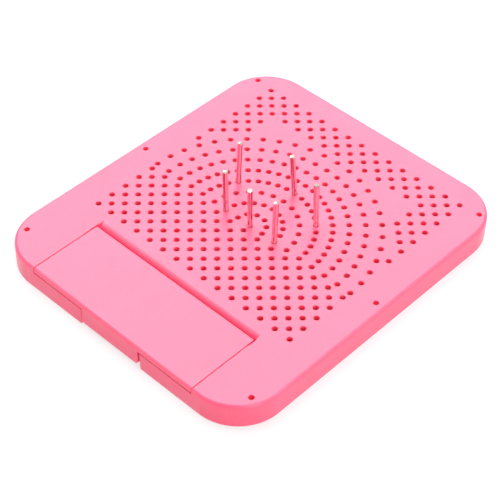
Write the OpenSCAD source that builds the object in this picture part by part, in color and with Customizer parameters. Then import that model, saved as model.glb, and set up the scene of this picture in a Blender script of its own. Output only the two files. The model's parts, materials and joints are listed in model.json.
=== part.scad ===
// Paper-quilling pin board: a hollow board with a field of pin holes, steel pins
// standing in it, and a lidded bay for spare pins along its front edge.
// Millimetres. Origin at the middle of the board's underside, +Z up, lid towards -Y.

/* [Board] */
// Width of the board, left to right
board_w = 122.5; // [121:0.5:126]
// Length of the board, front to back
board_l = 142.5; // [142:0.5:146]
// Height of the board
board_h = 10; // [9.5:0.1:12]
// Radius of the board's four corners
corner_r = 18.7; // [18:0.1:20]
// Rounding of the board's top edge
edge_r = 1.4; // [0.8:0.1:1.6]
// Thickness of the outer wall
wall_t = 2; // [1.8:0.1:2.2]
// Thickness of the perforated top
deck_t = 2; // [1.8:0.1:2.4]
// Thickness of the base plate
base_t = 1.6; // [1.2:0.1:2]

/* [Pin holes] */
// Diameter of a pin hole
hole_d = 2.3; // [2.3:0.05:2.4]
// Spacing of the half rings
ring_step = 6; // [5.9:0.1:6.1]
// Spacing of the diagonal grid, measured along its diagonal rows
grid_pitch = 4.8; // [4.7:0.05:4.85]
// Distance of the rings' centre from the board's middle, towards the lid
ring_offset = 2.2; // [2:0.1:2.4]
// Extra gap between the ring centre's grid and the back grid
back_grid_shift = 1; // [0.8:0.1:1.2]

/* [Pins] */
// Diameter of a steel pin
pin_d = 2.1; // [1.9:0.05:2.1]
// Length of a steel pin
pin_l = 26.8; // [25:0.1:28]
// Chamfer on both ends of a pin
pin_chamfer = 0.15; // [0.1:0.05:0.3]
// Number of spare pins in the storage bay
spare_count = 13; // [2:1:13]

/* [Storage lid] */
// Width of the lid
lid_w = 78.1; // [77.5:0.1:78.2]
// Thickness of the lid
lid_t = 2.2; // [2:0.1:2.3]
// Distance from the board's front face to the lid's hinged edge
lid_l = 30.45; // [30.2:0.05:30.5]
// Distance from the board's front face to the back of the lid opening
bay_l = 31.4; // [31.3:0.05:31.5]
// Gap on each side of the lid
side_gap = 0.28; // [0.2:0.02:0.4]
// Width of the finger tab at the lid's front
tab_w = 27.8; // [24:0.2:28]
// Distance of the tab's middle from the lid's middle, to the left
tab_shift = 0.3; // [0:0.1:0.4]
// Height of the finger tab's lower edge above the table
tab_lift = 1.2; // [1:0.1:2]
// Radius of the rolled edge behind the lid
roll_r = 3.2; // [3:0.1:3.4]
// Length of the rolled edge, front to back
roll_l = 2.9; // [2.6:0.1:3]

/* [Hinge] */
// Distance of the hinge axis from the board's front face
hinge_back = 28.05; // [28:0.05:28.1]
// Height of the hinge axis above the table
hinge_z = 7.4; // [7.3:0.05:7.4]
// Diameter of the lid's moulded pivot stubs
stub_d = 2; // [1.9:0.05:2]
// Radial clearance of a stub in its bore
stub_clearance = 0.06; // [0.03:0.01:0.1]

/* [Hidden] */

$fn = 64;
hole_fn = 24;
pin_fn = 32;
large_fn = 96;
cut = 1; // how far a cutting solid runs past the face that it opens
join = 0.2; // how far a hanging wall runs into the top

shell_pink = "#ff9fbc";
base_pink = "#fb94b3";
lid_pink = "#ffa6c2";
steel = "#c9cdd2";

// Board
front_y = -board_l / 2;
deck_z = board_h - deck_t;
base_gap = 0.15;
wall_inset = wall_t + base_gap;

// Pin field: half rings around one centre, with a diagonal grid before and behind
ring_steps = [5, 10, 12, 20, 24, 24, 24, 24];
ring_y = -ring_offset;
col = grid_pitch * sqrt(2);
row = col / 2;
half_cols = 7;
front_rows = 9;
first_back_row = 6;
first_full_row = 15;
last_back_row = 18;
corner_cols = 5.4;
clear_of_rings = 51;

// Edge holes, which hold the base plate's pegs
edge_hole_d = 2.2;
edge_hole_pitch = 60.5;
edge_hole_y = 0.5;
edge_hole_x = [55.7, 57.4, 55.7];
peg_d = 2.1;
peg_top = board_h - 3;
boss_d = 4.6;

// Storage bay
bay_back_y = front_y + bay_l;
bay_w = lid_w + 2 * side_gap;
rib_t = 2;
lid_back_y = front_y + lid_l;
lid_z = board_h - lid_t;
lid_seat_gap = 0.2;
notch_w = tab_w + 0.8;
notch_flare = 0.6;
tab_t = 1.6;
tab_corner_r = 1.5;
tab_join = 0.5;
lip_y = front_y + 2.65;
lip_t = 1.2;
lip_h = 4.6;
lip_side = 1;

// Hinge
hinge_y = front_y + hinge_back;
ear_front_y = hinge_y - 2;
ear_back_y = hinge_y + 1.6;
ear_w = 3;
ear_z = hinge_z - 1.3;
pocket_l = 4.6;
pocket_w = 0.3;
cheek_t = 2.6;
cheek_l = 6;
cheek_z = 4.8;
stub_l = 2.1;
stub_root = 1;
stub_bore_l = 1.8;

// Standing pins: ring number, angle on the ring, lean from upright, direction of the lean
standing = [
    [4, 144, 2.7, 103],
    [4, 90, 4.6, 230],
    [2, 180, 1.5, 205],
    [0, 0, 3.7, 297],
    [2, 0, 2.8, 120],
    [4, 45, 4.5, 160]
];
foot_gap = 0.05;

// Spare pins lie in two rows of up to seven, each turned a little
spare_rows = 7;
spare_pitch = 2.9;
spare_x = 15.5;
spare_first_y = front_y + 6.4;
spare_turn = 1.4;
spare_phase = 100;

function ring_point(k, angle) = [k * ring_step * cos(angle), ring_y + k * ring_step * sin(angle)];

function ring_holes() = concat(
    [[0, ring_y]],
    [for (k = [1:len(ring_steps)]) for (i = [0:ring_steps[k - 1]])
        ring_point(k, 180 * i / ring_steps[k - 1])]
);

// A grid row: odd and even rows are half a column apart
function row_x(whole) = whole
    ? [for (i = [-half_cols:half_cols]) i * col]
    : [for (i = [-half_cols:half_cols - 1]) (i + 0.5) * col];

function front_holes() = [for (m = [1:front_rows]) for (x = row_x(m % 2 == 1))
    [x, ring_y - m * row]];

function back_holes() = [for (m = [first_back_row:last_back_row]) for (x = row_x(m % 2 == 0))
    let (y = m * row)
    if (m >= first_full_row || (abs(x) > corner_cols * col && norm([x, y]) > clear_of_rings))
        [x, ring_y + y + back_grid_shift]];

function edge_holes() = [for (i = [0:2]) for (s = [-1, 1])
    [s * edge_hole_x[i], edge_hole_y + (1 - i) * edge_hole_pitch]];

module rounded_rect(w, l, r) {
    square([w - 2 * r, l], center = true);
    square([w, l - 2 * r], center = true);
    for (sx = [-1, 1]) for (sy = [-1, 1])
        translate([sx * (w / 2 - r), sy * (l / 2 - r)]) circle(r, $fn = large_fn);
}

// Slab with round corners and a rounded top edge
module soft_slab(w, l, h, r, e) {
    linear_extrude(h - e) rounded_rect(w, l, r);
    linear_extrude(h) rounded_rect(w - 2 * e, l - 2 * e, r - e);
    for (s = [-1, 1]) {
        translate([s * (w / 2 - e), 0, h - e])
            rotate([90, 0, 0]) cylinder(r = e, h = l - 2 * r, center = true);
        translate([0, s * (l / 2 - e), h - e])
            rotate([0, 90, 0]) cylinder(r = e, h = w - 2 * r, center = true);
    }
    for (sx = [-1, 1]) for (sy = [-1, 1])
        translate([sx * (w / 2 - r), sy * (l / 2 - r), h - e])
            rotate_extrude($fn = large_fn) translate([r - e, 0]) circle(e);
}

// Box from its lowest corner to its highest corner
module block(low, high) {
    translate(low) cube(high - low);
}

module bores(points, d, low, high) {
    for (p = points) translate([p[0], p[1], low]) cylinder(d = d, h = high - low, $fn = hole_fn);
}

// Opening in the top for the lid, with a wider pocket for the hinge at each back corner
module bay_opening() {
    block([-bay_w / 2, front_y - cut, lid_z - lid_seat_gap], [bay_w / 2, bay_back_y, board_h + cut]);
    block([-bay_w / 2, front_y + wall_t, deck_z - cut], [bay_w / 2, bay_back_y, board_h + cut]);
    block([-bay_w / 2 - pocket_w, bay_back_y - pocket_l, deck_z - cut],
          [bay_w / 2 + pocket_w, bay_back_y, board_h + cut]);
    block([-bay_w / 2, bay_back_y - cut, deck_z - cut],
          [bay_w / 2, bay_back_y + roll_l, board_h + cut]);
}

// Cut-out of the front wall for the finger tab, wider at the bottom
module tab_notch() {
    half = notch_w / 2;
    translate([0, front_y + wall_t + cut, 0]) rotate([90, 0, 0])
        linear_extrude(wall_t + 2 * cut) polygon([
            [-half - notch_flare, -cut], [half + notch_flare, -cut],
            [half, board_h], [-half, board_h]
        ]);
}

// Edge of the top behind the lid: part of a large cylinder, cut off at the bay's back
module rolled_edge() {
    intersection() {
        translate([0, bay_back_y + roll_l, board_h - roll_r])
            rotate([0, 90, 0]) cylinder(r = roll_r, h = bay_w, center = true, $fn = large_fn);
        block([-bay_w / 2, bay_back_y, board_h - roll_r],
              [bay_w / 2, bay_back_y + roll_l, board_h]);
    }
}

// Walls of the storage bay, which hang from the top down to the base plate
module bay_walls() {
    out = bay_w / 2 + rib_t;
    roll_y = bay_back_y + roll_l;
    block([-out, bay_back_y, base_t], [out, bay_back_y + rib_t, board_h - roll_r + 1]);
    block([-out, bay_back_y + rib_t / 2, board_h - roll_r], [out, roll_y + 1, deck_z + join]);
    for (s = [-1, 1])
        block([min(s * bay_w / 2, s * out), front_y + wall_t / 2, base_t],
              [max(s * bay_w / 2, s * out), bay_back_y + rib_t, deck_z + join]);
    rolled_edge();
}

// Thick cheek beside each back corner of the bay, which holds a pivot stub
module hinge_cheeks() {
    low = bay_w / 2 + pocket_w;
    for (s = [-1, 1])
        block([min(s * low, s * (low + cheek_t)), hinge_y - cheek_l / 2, cheek_z],
              [max(s * low, s * (low + cheek_t)), hinge_y + cheek_l / 2, deck_z + join]);
}

module hinge_bores() {
    low = bay_w / 2 + pocket_w;
    for (s = [-1, 1]) translate([s * (low + (stub_bore_l - cut) / 2), hinge_y, hinge_z])
        rotate([0, 90, 0])
        cylinder(d = stub_d + 2 * stub_clearance, h = stub_bore_l + cut, center = true);
}

module board_shell() {
    color(shell_pink) difference() {
        union() {
            difference() {
                soft_slab(board_w, board_l, board_h, corner_r, edge_r);
                translate([0, 0, -cut]) linear_extrude(deck_z + cut)
                    rounded_rect(board_w - 2 * wall_t, board_l - 2 * wall_t, corner_r - wall_t);
                bay_opening();
                tab_notch();
            }
            bay_walls();
            hinge_cheeks();
            bores(edge_holes(), boss_d, base_t, deck_z + join);
        }
        hinge_bores();
        // the pockets run down past the bay walls, so that the lid's ears can turn
        for (s = [-1, 1])
            block([min(s * bay_w / 2, s * (bay_w / 2 + pocket_w)), bay_back_y - pocket_l, cheek_z],
                  [max(s * bay_w / 2, s * (bay_w / 2 + pocket_w)), bay_back_y, board_h + cut]);
        bores(edge_holes(), edge_hole_d, base_t - cut, board_h + cut);
        bores(ring_holes(), hole_d, deck_z - cut, board_h + cut);
        bores(front_holes(), hole_d, deck_z - cut, board_h + cut);
        bores(back_holes(), hole_d, deck_z - cut, board_h + cut);
    }
}

// Bottom cover: the floor that the pins stand on, six pegs that press up into the
// shell's edge holes, and a lip that keeps spare pins away from the tab's cut-out
module base_plate() {
    notch_half = notch_w / 2 + notch_flare;
    color(base_pink) {
        difference() {
            linear_extrude(base_t)
                rounded_rect(board_w - 2 * wall_inset, board_l - 2 * wall_inset, corner_r - wall_inset);
            block([-notch_half, front_y - cut, -cut], [notch_half, lip_y, base_t + cut]);
        }
        block([-notch_half - lip_side, lip_y, base_t / 2],
              [notch_half + lip_side, lip_y + lip_t, base_t + lip_h]);
        bores(edge_holes(), peg_d, base_t / 2, peg_top);
    }
}

// Panel with a rounded hinged edge and front edge, a finger tab, and two ears with stubs
module storage_lid() {
    back_r = lid_t / 2;
    color(lid_pink) {
        block([-lid_w / 2, front_y + edge_r, lid_z], [lid_w / 2, lid_back_y - back_r, board_h]);
        block([-lid_w / 2, front_y, lid_z], [lid_w / 2, front_y + 2 * edge_r, board_h - edge_r]);
        intersection() {
            translate([0, front_y + edge_r, board_h - edge_r])
                rotate([0, 90, 0]) cylinder(r = edge_r, h = lid_w, center = true);
            block([-lid_w / 2, front_y, lid_z], [lid_w / 2, front_y + edge_r, board_h]);
        }
        translate([0, lid_back_y - back_r, lid_z + back_r])
            rotate([0, 90, 0]) cylinder(r = back_r, h = lid_w, center = true);
        // finger tab with rounded lower corners
        translate([-tab_shift, front_y + tab_t, 0]) rotate([90, 0, 0]) linear_extrude(tab_t) {
            translate([-tab_w / 2, tab_lift + tab_corner_r])
                square([tab_w, lid_z + tab_join - tab_lift - tab_corner_r]);
            translate([-tab_w / 2 + tab_corner_r, tab_lift])
                square([tab_w - 2 * tab_corner_r, 2 * tab_corner_r]);
            for (s = [-1, 1])
                translate([s * (tab_w / 2 - tab_corner_r), tab_lift + tab_corner_r])
                    circle(tab_corner_r);
        }
        for (s = [-1, 1]) {
            block([min(s * lid_w / 2, s * (lid_w / 2 - ear_w)), ear_front_y, ear_z],
                  [max(s * lid_w / 2, s * (lid_w / 2 - ear_w)), ear_back_y, lid_z + tab_join]);
            translate([s * (lid_w / 2 + (stub_l - stub_root) / 2), hinge_y, hinge_z])
                rotate([0, 90, 0]) cylinder(d = stub_d, h = stub_l + stub_root, center = true);
        }
    }
}

module steel_pin() {
    r = pin_d / 2;
    color(steel) rotate_extrude($fn = pin_fn) polygon([
        [0, 0], [r - pin_chamfer, 0], [r, pin_chamfer],
        [r, pin_l - pin_chamfer], [r - pin_chamfer, pin_l], [0, pin_l]
    ]);
}

// A pin leans about the middle of its hole until its foot stands on the base plate
module standing_pin(i) {
    s = standing[i - 1];
    hole = ring_point(s[0], s[1]);
    mid = board_h - deck_t / 2;
    drop = (mid - base_t - foot_gap - pin_d / 2 * sin(s[2])) / cos(s[2]);
    translate([hole[0], hole[1], mid]) rotate([0, 0, s[3]]) rotate([0, s[2], 0])
        translate([0, 0, -drop]) steel_pin();
}

module spare_pin(i) {
    line = (i - 1) % spare_rows;
    side = i <= spare_rows ? -1 : 1;
    translate([side * spare_x, spare_first_y + line * spare_pitch, base_t + foot_gap + pin_d / 2])
        rotate([0, 0, spare_turn * sin(spare_phase * i)]) rotate([0, 90, 0])
        translate([0, 0, -pin_l / 2]) steel_pin();
}

board_shell();
base_plate();
storage_lid();
for (i = [1:len(standing)])
    standing_pin(i);
for (i = [1:spare_count])
    spare_pin(i);
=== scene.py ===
"""Looks of a pink paper-quilling pin board with a pin store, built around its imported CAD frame.

Everything is in metres in the CAD model's frame: origin under the middle of the board, +Z
up, and the storage lid towards -Y. Sizes that the frame doesn't give are named in millimetres.
"""

import json
import math
import random

import bmesh
import bpy
from mathutils import Matrix, Vector


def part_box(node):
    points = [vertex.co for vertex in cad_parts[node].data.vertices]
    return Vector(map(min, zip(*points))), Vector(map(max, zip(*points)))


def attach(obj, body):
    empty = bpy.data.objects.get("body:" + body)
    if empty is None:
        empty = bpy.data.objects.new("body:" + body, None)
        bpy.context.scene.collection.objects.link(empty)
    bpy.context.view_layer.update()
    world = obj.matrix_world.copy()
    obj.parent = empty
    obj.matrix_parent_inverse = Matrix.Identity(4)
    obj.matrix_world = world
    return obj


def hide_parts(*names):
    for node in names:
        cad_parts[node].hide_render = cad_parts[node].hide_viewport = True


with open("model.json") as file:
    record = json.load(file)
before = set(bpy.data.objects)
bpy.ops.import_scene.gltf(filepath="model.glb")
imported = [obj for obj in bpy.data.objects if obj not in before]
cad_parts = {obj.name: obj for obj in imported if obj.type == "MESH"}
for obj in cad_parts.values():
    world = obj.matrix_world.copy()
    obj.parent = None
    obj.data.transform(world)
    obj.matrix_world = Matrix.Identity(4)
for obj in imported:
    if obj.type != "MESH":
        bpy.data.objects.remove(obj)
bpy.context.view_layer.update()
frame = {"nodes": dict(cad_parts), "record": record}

MM = 0.001
WELD = 0.002 * MM  # vertices closer than this are one

# How far a solid or a cutter reaches past the face that it joins or cuts
NUDGE = 0.2 * MM
REACH = 0.5 * MM
BEYOND = 1.0 * MM

# Steps of the arcs
FOOT_STEPS = 3
FINE_STEPS = 4
RIM_STEPS = 5
CORNER_STEPS = 6
TAB_STEPS = 8
EDGE_STEPS = 12
ROLL_STEPS = 20
PLAN_STEPS = 24
STUB_STEPS = 35

# Edges that turn by more degrees than this stay sharp
SHARP_ANGLE = 40
PIN_SHARP_ANGLE = 50

# ---------------------------------------------------------------- sizes from the frame
shell_lo, shell_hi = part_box("board_shell")
base_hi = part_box("base_plate")[1]
joints = {j["name"]: j for j in frame["record"]["behaviour"]["joints"]}
mounts = {m["name"]: m for m in frame["record"]["mounts"]}
hinge = Vector(joints["lid_hinge"]["pos_m"])

BOARD_W = shell_hi[0] - shell_lo[0]
BOARD_L = shell_hi[1] - shell_lo[1]
BOARD_H = shell_hi[2]
FRONT = shell_lo[1]

# ---------------------------------------------------------------- the board, as moulded
CORNER_R = 18.7 * MM
EDGE_R = 1.4 * MM
FOOT_R = 0.3 * MM
WALL = 2.0 * MM
DECK = 2.0 * MM
BASE_T = 1.6 * MM
DECK_Z = BOARD_H - DECK
RIM = 0.3 * MM  # rounding of the small edges

HOLE_R = mounts["pin_hole"]["dims"]["r_mm"] * MM
HOLE_FLARE = 0.08 * MM
RING_STEP = 6.0 * MM
RING_STEPS = (5, 10, 12, 20, 24, 24, 24, 24)
RING_Y = -2.2 * MM
COLUMN = 4.8 * MM * math.sqrt(2)
ROW = COLUMN / 2
HALF_COLS = 7
FRONT_ROWS = 9
BACK_ROWS = range(6, 19)
FIRST_FULL_ROW = 15
BACK_SHIFT = 1.0 * MM
CORNER_COLS = 5.4
CLEAR_OF_RINGS = 51.0 * MM
EDGE_HOLE_R = 1.1 * MM
EDGE_HOLE_X = {1: 55.7, 0: 57.4, -1: 55.7}  # of the pairs from back to front, in mm
EDGE_HOLE_Y = 0.5  # of the middle pair, in mm
EDGE_HOLE_STEP = 60.5  # from pair to pair, in mm
EDGE_HOLES = [(s * x * MM, (EDGE_HOLE_Y + k * EDGE_HOLE_STEP) * MM)
              for k, x in EDGE_HOLE_X.items() for s in (-1, 1)]
BOSS_R = 2.3 * MM
PEG_R = 1.05 * MM
PEG_LEAD = 0.4 * MM

# ---------------------------------------------------------------- the storage bay and lid
LID_W = 78.1 * MM
LID_T = 2.2 * MM
LID_Z = BOARD_H - LID_T
LID_BACK = FRONT + 30.45 * MM
LID_CORNER = 0.9 * MM
SEAT_GAP = 0.2 * MM
BAY_W = LID_W + 0.56 * MM
BAY_BACK = FRONT + 31.4 * MM
ROLL_R = 3.2 * MM
ROLL_L = 2.9 * MM
RIB = 2.0 * MM
POCKET_W = 0.3 * MM
POCKET_L = 4.6 * MM
OPENING_Z = DECK_Z - 0.6 * MM
CHEEK_Z = 4.8 * MM
CHEEK_W = 2.6 * MM
CHEEK_HALF = 3 * MM
TAB_W = 27.8 * MM
TAB_X = -0.3 * MM
TAB_T = 1.6 * MM
TAB_LIFT = 1.2 * MM
TAB_R = 1.5 * MM
NOTCH_W = TAB_W + 0.8 * MM
NOTCH_FLARE = 0.6 * MM
LIP_Y = FRONT + 2.65 * MM
LIP_H = 4.6 * MM
LIP_T = 1.2 * MM
LIP_GAP_TOP = 3 * MM
EAR_W = 3.0 * MM
EAR_INSET = 0.02 * MM
EAR_FRONT = 2 * MM
EAR_BACK = 1.6 * MM
EAR_DROP = 1.3 * MM
STUB_R = 1.0 * MM


# ================================================================ mesh helpers
def new_object(name, bm):
    """An object made from a bmesh, in the scene."""
    mesh = bpy.data.meshes.new(name)
    bmesh.ops.recalc_face_normals(bm, faces=bm.faces)
    bm.to_mesh(mesh)
    bm.free()
    obj = bpy.data.objects.new(name, mesh)
    bpy.context.scene.collection.objects.link(obj)
    return obj


def arc(cx, cy, r, start, end, steps):
    """Points of an arc in a plane, both ends included; angles in degrees."""
    turn = [math.radians(start + (end - start) * i / steps) for i in range(steps + 1)]
    return [(cx + r * math.cos(a), cy + r * math.sin(a)) for a in turn]


def rounded_rect(w, l, r, steps=PLAN_STEPS):
    """Outline of a rectangle with round corners, anticlockwise."""
    x, y = w / 2 - r, l / 2 - r
    corners = ((x, y, 0), (-x, y, 90), (-x, -y, 180), (x, -y, 270))
    return [p for cx, cy, a in corners for p in arc(cx, cy, r, a, a + 90, steps)]


def loft(name, rings):
    """Closed solid through rings of equal length, each a list of 3-D points."""
    bm = bmesh.new()
    rows = [[bm.verts.new(p) for p in ring] for ring in rings]
    n = len(rows[0])
    for low, high in zip(rows, rows[1:]):
        for i in range(n):
            j = (i + 1) % n
            bm.faces.new((low[i], low[j], high[j], high[i]))
    bm.faces.new(reversed(rows[0]))
    bm.faces.new(rows[-1])
    return new_object(name, bm)


def level(outline, t, axis="z"):
    """Outline at a place on an axis. On x it lies in (y, z), on y in (x, z)."""
    place = {"x": lambda p: (t, p[0], p[1]),
             "y": lambda p: (p[0], t, p[1]),
             "z": lambda p: (p[0], p[1], t)}[axis]
    return [place(p) for p in outline]


def prism(name, outline, low, high, axis="z"):
    return loft(name, [level(outline, t, axis) for t in (low, high)])


def block(name, low, high):
    """Box from its lowest to its highest corner."""
    outline = [(low[0], low[1]), (high[0], low[1]), (high[0], high[1]), (low[0], high[1])]
    return prism(name, outline, low[2], high[2])


def side_block(name, side, x0, x1, y0, y1, z0, z1):
    """Box between two distances from the middle, on the side given by its sign."""
    xs = sorted((side * x0, side * x1))
    return block(name, (xs[0], y0, z0), (xs[1], y1, z1))


def revolve(bm, profile, centre, steps=32):
    """Adds a solid of revolution about a vertical axis to bm; profile is (radius, z)."""
    rows = []
    for r, z in profile:
        if r == 0:
            rows.append([bm.verts.new((centre[0], centre[1], z))] * steps)
            continue
        rows.append([bm.verts.new((centre[0] + x, centre[1] + y, z))
                     for x, y in arc(0, 0, r, 0, 360 - 360 / steps, steps - 1)])
    for low, high in zip(rows, rows[1:]):
        for i in range(steps):
            j = (i + 1) % steps
            corners = dict.fromkeys((low[i], low[j], high[j], high[i]))
            bm.faces.new(tuple(corners))


def aimed(place, way):
    """Matrix that puts an object at a place, with its Z along a direction."""
    return Matrix.Translation(place) @ way.to_track_quat("Z", "Y").to_matrix().to_4x4()


def applied(obj):
    """Applies all modifiers of obj."""
    graph = bpy.context.evaluated_depsgraph_get()
    mesh = bpy.data.meshes.new_from_object(obj.evaluated_get(graph))
    obj.modifiers.clear()
    old = obj.data
    obj.data = mesh
    bpy.data.meshes.remove(old)
    return obj


def combine(obj, others, operation):
    """Boolean of obj with each of the others, which are used up."""
    for other in others:
        mod = obj.modifiers.new("boolean", "BOOLEAN")
        mod.operation = operation
        mod.solver = "MANIFOLD"
        mod.object = other
        applied(obj)
        mesh = other.data
        bpy.data.objects.remove(other)
        bpy.data.meshes.remove(mesh)
    bm = bmesh.new()
    bm.from_mesh(obj.data)
    bmesh.ops.remove_doubles(bm, verts=bm.verts, dist=WELD)
    bmesh.ops.dissolve_degenerate(bm, edges=bm.edges, dist=WELD)
    bm.to_mesh(obj.data)
    bm.free()
    return obj


def finish_shading(obj, angle=SHARP_ANGLE):
    """Smooth shading below the angle, with normals that keep the flat faces flat."""
    obj.data.shade_smooth()
    obj.data.set_sharp_from_angle(angle=math.radians(angle))
    mod = obj.modifiers.new("normals", "WEIGHTED_NORMAL")
    mod.mode = "FACE_AREA"
    mod.weight = 100
    mod.keep_sharp = True
    return applied(obj)


# ================================================================ the hole pattern
def ring_holes():
    points = [(0.0, RING_Y)]
    for k, steps in enumerate(RING_STEPS, 1):
        points += arc(0, RING_Y, k * RING_STEP, 0, 180, steps)
    return points


def grid_row(on_centre):
    first = -HALF_COLS if on_centre else -HALF_COLS + 0.5
    count = 2 * HALF_COLS + (1 if on_centre else 0)
    return [(first + i) * COLUMN for i in range(count)]


def grid_holes():
    front = [(x, RING_Y - m * ROW) for m in range(1, FRONT_ROWS + 1)
             for x in grid_row(m % 2 == 1)]
    back = [(x, RING_Y + m * ROW + BACK_SHIFT) for m in BACK_ROWS
            for x in grid_row(m % 2 == 0)
            if m >= FIRST_FULL_ROW
            or (abs(x) > CORNER_COLS * COLUMN and math.hypot(x, m * ROW) > CLEAR_OF_RINGS)]
    return front + back


def hole_cutters(name, points, radius, low):
    """Cutters with a flared mouth, so that every hole has a softly rounded rim."""
    flare = arc(radius + HOLE_FLARE, BOARD_H - HOLE_FLARE, HOLE_FLARE, 180, 90, FINE_STEPS)
    profile = [(0, low), (radius, low)] + flare
    profile += [(radius + HOLE_FLARE, BOARD_H + BEYOND), (0, BOARD_H + BEYOND)]
    bm = bmesh.new()
    for p in points:
        revolve(bm, profile, p)
    return new_object(name, bm)


# ================================================================ the board shell
def slab():
    """Outside of the board, with its rounded top edge."""
    steps = arc(FOOT_R, FOOT_R, FOOT_R, 270, 180, FOOT_STEPS)
    steps += [(EDGE_R - c, BOARD_H - EDGE_R + s)
              for c, s in arc(0, 0, EDGE_R, 0, 90, EDGE_STEPS)]
    return loft("shell", [level(rounded_rect(BOARD_W - 2 * i, BOARD_L - 2 * i, CORNER_R - i), z)
                          for i, z in steps])


def rimmed(name, outline_at, low, mouth, axis="z"):
    """Cutter that widens at its mouth and so leaves a rounded rim.

    outline_at(grow) gives its outline, moved outwards by grow.
    """
    steps = [(0, low), (0, mouth - RIM)]
    steps += [(RIM + c, mouth - RIM + s) for c, s in arc(0, 0, RIM, 180, 90, RIM_STEPS)[1:]]
    steps += [(RIM, mouth + BEYOND)]
    return loft(name, [level(outline_at(grow), z, axis) for grow, z in steps])


def bay_outline(grow):
    """Opening for the lid: narrow, then wider at the hinge, with round inner corners."""
    x, wide = BAY_W / 2 + grow, BAY_W / 2 + POCKET_W + grow
    r = LID_CORNER + POCKET_W + grow
    back, step = BAY_BACK + grow, BAY_BACK - POCKET_L - grow
    right = [(x, FRONT - BEYOND), (x, step), (wide, step + POCKET_W)]
    right += arc(wide - r, back - r, r, 0, 90, CORNER_STEPS)
    return right + [(-px, py) for px, py in reversed(right)]


def roll_cutter():
    """What the rolled edge leaves free above it."""
    over = BOARD_H + BEYOND
    sweep = math.degrees(math.acos(ROLL_L / ROLL_R))
    foot = BOARD_H - ROLL_R + ROLL_R * math.sin(math.radians(sweep))
    outline = [(BAY_BACK - NUDGE, over), (BAY_BACK - NUDGE, foot)]
    outline += arc(BAY_BACK + ROLL_L, BOARD_H - ROLL_R, ROLL_R, 180 - sweep, 90, ROLL_STEPS)
    outline += [(BAY_BACK + ROLL_L, over)]
    return prism("roll", outline, -BAY_W / 2, BAY_W / 2, "x")


def notch_outline(grow):
    half = NOTCH_W / 2 + grow
    return [(-half - NOTCH_FLARE, -BEYOND), (half + NOTCH_FLARE, -BEYOND),
            (half, BOARD_H), (-half, BOARD_H)]


def notch_cutter():
    """Cut-out of the front wall; its rim is on the outside, towards -Y."""
    steps = [(0, FRONT + WALL + REACH), (0, FRONT + RIM)]
    steps += [(RIM + c, FRONT + RIM - s) for c, s in arc(0, 0, RIM, 180, 90, RIM_STEPS)[1:]]
    steps += [(RIM, FRONT - BEYOND)]
    return loft("notch", [level(notch_outline(grow), y, "y") for grow, y in steps])


def wall_top_cutter():
    """Lowers the front wall under the lid, and rounds its outer edge."""
    z = LID_Z - SEAT_GAP
    back, over = FRONT + WALL + NUDGE / 2, BOARD_H + BEYOND
    outline = [(FRONT - BEYOND, z - RIM), (FRONT, z - RIM)]
    outline += arc(FRONT + RIM, z - RIM, RIM, 180, 90, RIM_STEPS)[1:]
    outline += [(back, z), (back, over), (FRONT - BEYOND, over)]
    return prism("wall_top", outline, -BAY_W / 2, BAY_W / 2, "x")


def bay_walls():
    """Walls that hang from the top around the bay, the rolled edge's solid, and the cheeks."""
    out = BAY_W / 2 + RIB
    top = DECK_Z + NUDGE
    roll_z = BOARD_H - ROLL_R
    pocket_x = BAY_W / 2 + POCKET_W
    bar = block("bar", (-out, BAY_BACK, BASE_T), (out, BAY_BACK + RIB, roll_z + BEYOND))
    under_roll = block("under_roll", (-out, BAY_BACK, roll_z),
                       (out, BAY_BACK + ROLL_L + BEYOND, top))
    walls = [bar, under_roll]
    for s in (-1, 1):
        walls.append(side_block("rib", s, BAY_W / 2, out, FRONT + WALL / 2,
                                BAY_BACK + RIB / 2, BASE_T, top))
        walls.append(side_block("cheek", s, out - NUDGE, pocket_x + CHEEK_W,
                                hinge.y - CHEEK_HALF, hinge.y + CHEEK_HALF, CHEEK_Z, top))
    return walls


def round_posts(name, profile):
    """The same solid of revolution at each of the holes near the edge."""
    bm = bmesh.new()
    for p in EDGE_HOLES:
        revolve(bm, profile, p)
    return new_object(name, bm)


def bay_cutters():
    """What is taken out for the bay, the hinge's pockets, the lid and its finger tab."""
    inside = block("bay_floor", (-BAY_W / 2, FRONT + WALL, BASE_T),
                   (BAY_W / 2, BAY_BACK - REACH, DECK_Z + BEYOND))
    pockets = [side_block("pocket", s, BAY_W / 2 - BEYOND, BAY_W / 2 + POCKET_W,
                          BAY_BACK - POCKET_L, BAY_BACK - LID_CORNER, CHEEK_Z, DECK_Z + REACH)
               for s in (-1, 1)]
    opening = rimmed("opening", bay_outline, OPENING_Z, BOARD_H)
    return [inside, *pockets, wall_top_cutter(), opening, roll_cutter(), notch_cutter()]


def make_shell():
    inner = rounded_rect(BOARD_W - 2 * WALL, BOARD_L - 2 * WALL, CORNER_R - WALL)
    shell = combine(slab(), [prism("cavity", inner, -BEYOND, DECK_Z)], "DIFFERENCE")
    combine(shell, bay_walls(), "UNION")
    top = DECK_Z + NUDGE
    bosses = round_posts("bosses", [(0, BASE_T), (BOSS_R, BASE_T), (BOSS_R, top), (0, top)])
    combine(shell, [bosses], "UNION")
    combine(shell, bay_cutters(), "DIFFERENCE")
    # The rings and the grids are cut one after the other: as one mesh they left a hole shut
    cutters = [hole_cutters("ring_holes", ring_holes(), HOLE_R, DECK_Z - BEYOND),
               hole_cutters("grid_holes", grid_holes(), HOLE_R, DECK_Z - BEYOND),
               hole_cutters("edge_holes", EDGE_HOLES, EDGE_HOLE_R, BASE_T - BEYOND)]
    combine(shell, cutters, "DIFFERENCE")
    shell.name = "moulded_shell"
    return finish_shading(shell)


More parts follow.
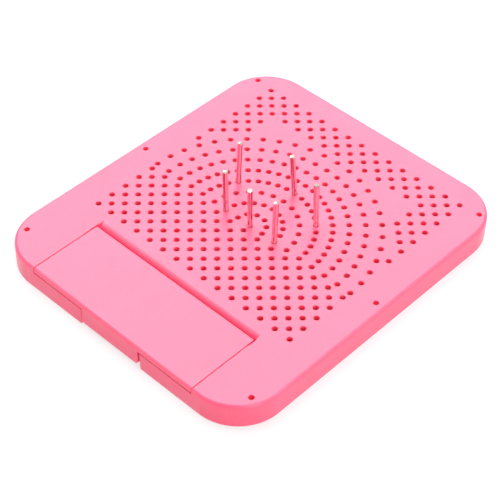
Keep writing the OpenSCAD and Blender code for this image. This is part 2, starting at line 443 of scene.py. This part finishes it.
# ================================================================ the other mouldings
def make_base_plate():
    """Bottom cover with the floor that the pins stand on, six pegs, and the lip."""
    inset = shell_hi[0] - base_hi[0]
    width, length, corner = BOARD_W - 2 * inset, BOARD_L - 2 * inset, CORNER_R - inset
    steps = [(FOOT_R - c, FOOT_R - s) for c, s in arc(0, 0, FOOT_R, 90, 0, FOOT_STEPS)]
    plate = loft("base", [level(rounded_rect(width - 2 * i, length - 2 * i, corner - i), z)
                          for i, z in steps + [(0, BASE_T)]])
    half = NOTCH_W / 2 + NOTCH_FLARE
    combine(plate, [block("gap", (-half, FRONT, -BEYOND), (half, LIP_Y, LIP_GAP_TOP))], "DIFFERENCE")
    lip_top = BASE_T + LIP_H
    ridge = [(LIP_Y, BASE_T / 2), (LIP_Y + LIP_T, BASE_T / 2)]
    ridge += arc(LIP_Y + LIP_T - RIM, lip_top - RIM, RIM, 0, 90, FINE_STEPS)
    ridge += arc(LIP_Y + RIM, lip_top - RIM, RIM, 90, 180, FINE_STEPS)
    combine(plate, [prism("lip", ridge, -half - BEYOND, half + BEYOND, "x")], "UNION")
    top = base_hi[2]
    pegs = round_posts("pegs", [(0, BASE_T / 2), (PEG_R, BASE_T / 2), (PEG_R, top - PEG_LEAD),
                                (PEG_R - PEG_LEAD / 2, top), (0, top)])
    combine(plate, [pegs], "UNION")
    plate.name = "moulded_base"
    return finish_shading(plate)


def lid_panel():
    """Long section with the front edge and the half-round back, trimmed to a rounded plan."""
    half_t = LID_T / 2
    section = [(FRONT, LID_Z)]
    section += arc(FRONT + EDGE_R, BOARD_H - EDGE_R, EDGE_R, 180, 90, EDGE_STEPS)
    section += arc(LID_BACK - half_t, LID_Z + half_t, half_t, 90, -90, ROLL_STEPS)
    panel = prism("lid", section, -LID_W / 2 - BEYOND, LID_W / 2 + BEYOND, "x")

    def plan(grow):
        x, r = LID_W / 2 + grow, LID_CORNER + grow
        right = arc(x - RIM, FRONT - grow + RIM, RIM, 270, 360, FINE_STEPS)
        right += arc(x - r, LID_BACK + grow - r, r, 0, 90, CORNER_STEPS)
        return right + [(-px, py) for px, py in reversed(right)]

    steps = [(RIM * (c - 1), LID_Z + RIM * (1 + s))
             for c, s in arc(0, 0, 1, 270, 360, RIM_STEPS)]
    steps += [(RIM * (c - 1), BOARD_H - RIM * (1 - s))
              for c, s in arc(0, 0, 1, 0, 90, RIM_STEPS)]
    return combine(panel, [loft("plan", [level(plan(grow), z) for grow, z in steps])], "INTERSECT")


def lid_tab():
    """Finger tab with round lower corners and a rounded rim on both faces."""
    def face(grow):
        half, r = TAB_W / 2 + grow, TAB_R + grow
        low = TAB_LIFT - grow
        outline = arc(half - r, low + r, r, 0, -90, TAB_STEPS)
        outline += arc(-half + r, low + r, r, 270, 180, TAB_STEPS)
        outline += [(-half, LID_Z + REACH), (half, LID_Z + REACH)]
        return [(TAB_X + x, z) for x, z in outline]

    steps = [(RIM * (c - 1), FRONT + RIM * (1 - s))
             for c, s in arc(0, 0, 1, 90, 0, RIM_STEPS)]
    steps += [(RIM * (c - 1), FRONT + TAB_T - RIM * (1 - s))
              for c, s in arc(0, 0, 1, 0, 90, RIM_STEPS)]
    return loft("tab", [level(face(grow), y, "y") for grow, y in steps])


def make_lid():
    """Panel with the finger tab, two ears and their pivot stubs."""
    edge = LID_W / 2 - EAR_INSET
    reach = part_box("storage_lid")[1][0]
    stub = arc(hinge.y, hinge.z, STUB_R, 0, 350, STUB_STEPS)
    parts = [lid_tab()]
    for s in (-1, 1):
        parts.append(side_block("ear", s, edge - EAR_W, edge, hinge.y - EAR_FRONT,
                                hinge.y + EAR_BACK, hinge.z - EAR_DROP, LID_Z + REACH))
        ends = sorted((s * (LID_W / 2 - BEYOND), s * reach))
        parts.append(prism("stub", stub, *ends, "x"))
    lid = combine(lid_panel(), parts, "UNION")
    lid.name = "moulded_lid"
    return finish_shading(lid)


# ================================================================ the steel pins
PIN_CHAMFER = 0.15 * MM
PIN_R = 1.05 * MM
PIN_L = 26.8 * MM
PIN_SHEAR = (0.06, 0.16)  # least and most drop across a sheared end, in mm
PIN_FACETS = 40


def pin_axis(node):
    """Middle and direction of a CAD pin, from the two halves of its vertices."""
    points = [v.co.copy() for v in frame["nodes"][node].data.vertices]
    low, high = (Vector(c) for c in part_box(node))
    middle = (low + high) / 2
    size = high - low
    long_way = max(range(3), key=lambda i: size[i])
    ends = [[p for p in points if (p[long_way] > middle[long_way]) == side]
            for side in (False, True)]
    mean = [sum(end, Vector()) / len(end) for end in ends]
    return middle, (mean[1] - mean[0]).normalized()


def make_pin(node, rng):
    """Cut wire: a turned shaft, with each end sheared a little out of square."""
    half = PIN_L / 2
    c = PIN_CHAMFER
    profile = [(0, -half + c / 2), (PIN_R - 2 * c, -half + c / 2), (PIN_R - c, -half)]
    profile += [(PIN_R - c + c * math.sin(a), -half + c - c * math.cos(a))
                for a in (math.radians(d) for d in (30, 60, 90))]
    profile += [(r, -z) for r, z in reversed(profile)]
    bm = bmesh.new()
    revolve(bm, profile, (0, 0), PIN_FACETS)
    shear = {s: (rng.uniform(0, math.tau), rng.uniform(*PIN_SHEAR) * MM) for s in (-1, 1)}
    for v in bm.verts:
        end = 1 if v.co.z > 0 else -1
        if abs(v.co.z) < half - 2 * c:
            continue
        turn, drop = shear[end]
        side = (v.co.x * math.cos(turn) + v.co.y * math.sin(turn)) / PIN_R
        v.co.z -= end * drop * (1 + side) / 2
    for f in bm.faces:
        f.material_index = 1 if abs(f.calc_center_median().z) > half - c else 0
    pin = new_object("wire_" + node, bm)
    middle, axis = pin_axis(node)
    pin.matrix_world = aimed(middle, axis)
    return finish_shading(pin, PIN_SHARP_ANGLE)


# ================================================================ materials
# Colour, deeper colour of the flow marks, pale colour of the wear, and roughness
PINKS = {
    "shell_pink": ((0.92, 0.102, 0.200), (0.90, 0.096, 0.190), (0.95, 0.25, 0.36), 0.28),
    "lid_pink": ((0.925, 0.105, 0.202), (0.905, 0.099, 0.192), (0.95, 0.25, 0.36), 0.27),
    "base_pink": ((0.92, 0.098, 0.215), (0.905, 0.092, 0.205), (0.94, 0.24, 0.35), 0.36),
}
PLASTIC_IOR = 1.5
PLASTIC_DEPTH = 1.3 * MM  # how far light goes into the plastic
PLASTIC_BLEED = (1.0, 0.3, 0.42)
PLASTIC_SCATTER = 0.55
STEEL = (0.84, 0.82, 0.81)
DULL_STEEL = (0.76, 0.74, 0.73)
STEEL_STREAK = (0.24, 0.20, 0.20)
CUT_STEEL = (0.38, 0.345, 0.31)
CUT_GROOVE = (0.17, 0.155, 0.14)
FLOOR_TONES = ((0.26, 0.26, 0.26), (0.25, 0.25, 0.253))
FLOOR_ROUGHNESS = 0.7
FLOOR_SPECULAR = 0.2
FLOOR_GLOW = 0.66
WHITE = (1, 1, 1, 1)


class Nodes:
    """Short way to build a material's node tree."""

    def __init__(self, name):
        self.material = bpy.data.materials.new(name)
        self.material.use_nodes = True
        self.tree = self.material.node_tree
        self.shader = self.tree.nodes["Principled BSDF"]
        self.place = self.add("ShaderNodeTexCoord").outputs["Object"]

    def add(self, kind, **values):
        node = self.tree.nodes.new(kind)
        for key, value in values.items():
            if hasattr(node, key):
                setattr(node, key, value)
            else:
                node.inputs[key.replace("_", " ")].default_value = value
        return node

    def link(self, source, target):
        self.tree.links.new(source, target)

    def noise(self, scale, detail=4, stretch=None, distortion=0.0):
        """Noise in the object's own metres; stretch scales each axis first."""
        node = self.add("ShaderNodeTexNoise", Scale=scale, Detail=detail, Distortion=distortion)
        source = self.place
        if stretch:
            mapping = self.add("ShaderNodeMapping", Scale=stretch)
            self.link(source, mapping.inputs["Vector"])
            source = mapping.outputs["Vector"]
        self.link(source, node.inputs["Vector"])
        return node.outputs["Fac"]

    def ramp(self, source, low, high, to_low=0.0, to_high=1.0):
        """Value that goes from to_low to to_high as the source goes from low to high."""
        node = self.add("ShaderNodeMapRange")
        self.link(source, node.inputs["Value"])
        limits = {"From Min": low, "From Max": high, "To Min": to_low, "To Max": to_high}
        for key, value in limits.items():
            node.inputs[key].default_value = value
        return node.outputs["Result"]

    def mix(self, factor, a, b):
        """Mix of two colours; each is a colour or a socket."""
        node = self.add("ShaderNodeMix", data_type="RGBA")
        self.link(factor, node.inputs["Factor"])
        for socket, value in ((node.inputs[6], a), (node.inputs[7], b)):
            if isinstance(value, bpy.types.NodeSocket):
                self.link(value, socket)
            else:
                socket.default_value = (*value, 1)
        return node.outputs[2]

    def total(self, a, b):
        """Sum of two sockets."""
        node = self.add("ShaderNodeMath", operation="ADD")
        self.link(a, node.inputs[0])
        self.link(b, node.inputs[1])
        return node.outputs["Value"]

    def bump(self, height, distance, strength=1.0, under=None):
        """Normal with a height on it, on top of the normal under it."""
        node = self.add("ShaderNodeBump", Distance=distance, Strength=strength)
        self.link(height, node.inputs["Height"])
        if under:
            self.link(under, node.inputs["Normal"])
        return node.outputs["Normal"]


def moulded_pink(name, colour, deep, pale, gloss):
    """Satin injection-moulded plastic: faint flow marks, a fine skin, scuffs, pale worn edges."""
    n = Nodes(name)
    flow = n.noise(45, detail=3, stretch=(1, 0.35, 1), distortion=0.6)
    base = n.mix(n.ramp(flow, 0.3, 0.7), colour, deep)
    fleck = n.noise(1400, detail=2)
    base = n.mix(n.ramp(fleck, 0.62, 0.8, 0, 0.25), base, pale)
    pointed = n.add("ShaderNodeNewGeometry").outputs["Pointiness"]
    worn = n.ramp(pointed, 0.53, 0.62, 0, 0.3)
    base = n.mix(worn, base, pale)
    n.link(base, n.shader.inputs["Base Color"])

    skin = n.noise(5200, detail=2)
    patches = n.ramp(n.noise(110), 0.3, 0.7, gloss, gloss + 0.05)
    rough = n.total(patches, n.ramp(skin, 0.2, 0.8, 0, 0.03))
    scuff = n.noise(420, detail=5, stretch=(1, 0.06, 1), distortion=1.2)
    scuffed = n.ramp(scuff, 0.66, 0.78, 0, 0.025)
    n.link(n.total(rough, scuffed), n.shader.inputs["Roughness"])

    wavy = n.bump(n.noise(38, detail=2), 0.05 * MM)
    grain = n.bump(skin, 0.0035 * MM, 0.6, wavy)
    n.link(n.bump(scuff, 0.001 * MM, 0.4, grain), n.shader.inputs["Normal"])
    n.shader.inputs["IOR"].default_value = PLASTIC_IOR
    n.shader.inputs["Subsurface Weight"].default_value = PLASTIC_SCATTER
    n.shader.inputs["Subsurface Radius"].default_value = PLASTIC_BLEED
    n.shader.inputs["Subsurface Scale"].default_value = PLASTIC_DEPTH
    return n.material


def drawn_wire(name):
    """Bright drawn steel wire: dark streaks and fine lines along it, and an uneven shine."""
    n = Nodes(name)
    lines = n.noise(2600, detail=3, stretch=(1, 1, 0.015))
    spots = n.noise(500, detail=3)
    steel = n.mix(n.ramp(spots, 0.35, 0.7), STEEL, DULL_STEEL)
    streaks = n.noise(1700, detail=2, stretch=(1, 1, 0.01))
    streaked = n.mix(n.ramp(streaks, 0.5, 0.57, 0, 0.85), steel, STEEL_STREAK)
    n.link(streaked, n.shader.inputs["Base Color"])
    shine = n.total(n.ramp(spots, 0.3, 0.7, 0.07, 0.13), n.ramp(lines, 0.4, 0.7, 0, 0.06))
    n.link(shine, n.shader.inputs["Roughness"])
    n.link(n.bump(lines, 0.008 * MM, 0.4), n.shader.inputs["Normal"])
    n.shader.inputs["Metallic"].default_value = 1.0
    return n.material


def sheared_end(name):
    """The cut end of the wire: darker, matt, with the shear's short grooves."""
    n = Nodes(name)
    grooves = n.noise(1800, stretch=(0.12, 1, 1), distortion=0.8)
    n.link(n.mix(n.ramp(grooves, 0.35, 0.65), CUT_STEEL, CUT_GROOVE), n.shader.inputs["Base Color"])
    n.link(n.ramp(grooves, 0.3, 0.7, 0.38, 0.52), n.shader.inputs["Roughness"])
    n.link(n.bump(grooves, 0.03 * MM, 0.7), n.shader.inputs["Normal"])
    n.shader.inputs["Metallic"].default_value = 1.0
    return n.material


def pale_floor(name):
    """Matt floor that glows a little, as under the light of a studio."""
    n = Nodes(name)
    tone = n.noise(9, detail=3)
    n.link(n.mix(n.ramp(tone, 0.3, 0.7), *FLOOR_TONES), n.shader.inputs["Base Color"])
    n.shader.inputs["Roughness"].default_value = FLOOR_ROUGHNESS
    n.shader.inputs["Specular IOR Level"].default_value = FLOOR_SPECULAR
    n.shader.inputs["Emission Color"].default_value = WHITE
    n.shader.inputs["Emission Strength"].default_value = FLOOR_GLOW
    return n.material


# ================================================================ camera, light and floor
CAMERA_AZIMUTH = 42.58
CAMERA_ELEVATION = 44.81
CAMERA_ROLL = 1.44
CAMERA_DISTANCE = 534.2 * MM
CAMERA_AIM = Vector((8.7 * MM, -11.3 * MM, BOARD_H))
CAMERA_LENS = 108.1
CAMERA_SENSOR = 36
CAMERA_NEAR = 0.01

# Name, azimuth and elevation in degrees, distance, width and height in metres, and watts
SOFTBOXES = (
    ("back_softbox", CAMERA_AZIMUTH + 180, 60, 1.1, 1.2, 1.5, 23.5),
    ("side_softbox", 70, 30, 1.2, 0.7, 0.7, 7.5),
    ("left_softbox", 290, 54, 1.1, 0.9, 0.9, 6.5),
    ("right_softbox", 130, 40, 1.1, 0.9, 0.9, 5.0),
)

# Brightness of the studio's wall at the floor and of its ceiling, and where the fade ends
SWEEP = 1.0
CEILING = 0.06
FADE_TOP = 0.5

FLOOR_HALF = 3.0
FLOOR_DROP = 0.05 * MM


def direction(azimuth, elevation):
    """Unit vector from the object to a point at that azimuth and elevation, in degrees."""
    a, e = math.radians(azimuth), math.radians(elevation)
    return Vector((math.sin(a) * math.cos(e), -math.cos(a) * math.cos(e), math.sin(e)))


def make_camera():
    """Camera that looks down at the board over its nearest corner."""
    back = direction(CAMERA_AZIMUTH, CAMERA_ELEVATION)
    level = Vector((0, 0, 1)).cross(back).normalized()
    right = Matrix.Rotation(math.radians(CAMERA_ROLL), 3, back) @ level
    data = bpy.data.cameras.new("camera")
    data.lens = CAMERA_LENS
    data.sensor_width = CAMERA_SENSOR
    data.clip_start = CAMERA_NEAR
    camera = bpy.data.objects.new("camera", data)
    turn = Matrix((right, back.cross(right), back)).transposed()
    camera.matrix_world = Matrix.Translation(CAMERA_AIM + back * CAMERA_DISTANCE) @ turn.to_4x4()
    bpy.context.scene.collection.objects.link(camera)
    bpy.context.scene.camera = camera


def softbox(name, azimuth, elevation, distance, width, height, power):
    """Soft light that faces the object."""
    data = bpy.data.lights.new(name, "AREA")
    data.shape = "RECTANGLE"
    data.size = width
    data.size_y = height
    data.energy = power
    light = bpy.data.objects.new(name, data)
    way = direction(azimuth, elevation)
    light.matrix_world = aimed(way * distance, way)
    bpy.context.scene.collection.objects.link(light)


def make_light():
    """A world that is bright at the horizon and dim above, and the softboxes."""
    world = bpy.data.worlds.new("studio")
    world.use_nodes = True
    tree = world.node_tree
    background = tree.nodes["Background"]
    background.inputs["Color"].default_value = WHITE
    way = tree.nodes.new("ShaderNodeTexCoord")
    parts = tree.nodes.new("ShaderNodeSeparateXYZ")
    fade = tree.nodes.new("ShaderNodeMapRange")
    tree.links.new(way.outputs["Generated"], parts.inputs["Vector"])
    tree.links.new(parts.outputs["Z"], fade.inputs["Value"])
    tree.links.new(fade.outputs["Result"], background.inputs["Strength"])
    limits = {"From Min": 0.0, "From Max": FADE_TOP, "To Min": SWEEP, "To Max": CEILING}
    for key, value in limits.items():
        fade.inputs[key].default_value = value
    bpy.context.scene.world = world
    for box in SOFTBOXES:
        softbox(*box)
    bpy.context.scene.view_settings.view_transform = "Standard"


def make_floor():
    bm = bmesh.new()
    bmesh.ops.create_grid(bm, x_segments=4, y_segments=4, size=FLOOR_HALF)
    floor = new_object("floor", bm)
    floor.location.z = -FLOOR_DROP
    floor.data.materials.append(pale_floor("pale_floor"))


# ================================================================ putting it together
def place(piece, node, body, slot, *materials):
    """Gives a piece its materials, and lets it stand for its CAD node."""
    # Clearing the slots sends every face to the first one, so the faces' slots are put back
    kinds = [face.material_index for face in piece.data.polygons]
    piece.data.materials.clear()
    for material in materials:
        piece.data.materials.append(material)
    piece.data.polygons.foreach_set("material_index", kinds)
    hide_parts(node)
    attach(piece, body)


def make_mouldings():
    pinks = {name: moulded_pink(name, *look) for name, look in PINKS.items()}
    place(make_shell(), "board_shell", "board", "board_plastic", pinks["shell_pink"])
    place(make_base_plate(), "base_plate", "board", "board_plastic", pinks["base_pink"])
    place(make_lid(), "storage_lid", "lid", "lid_plastic", pinks["lid_pink"])


def make_pins():
    rng = random.Random(7)
    wire, end = drawn_wire("drawn_wire"), sheared_end("sheared_end")
    for body, nodes in frame["record"]["behaviour"]["bodies"].items():
        for node in nodes:
            if "_pin_" in node:
                place(make_pin(node, rng), node, body, "pin_steel", wire, end)


make_camera()
make_light()
make_floor()
make_mouldings()
make_pins()
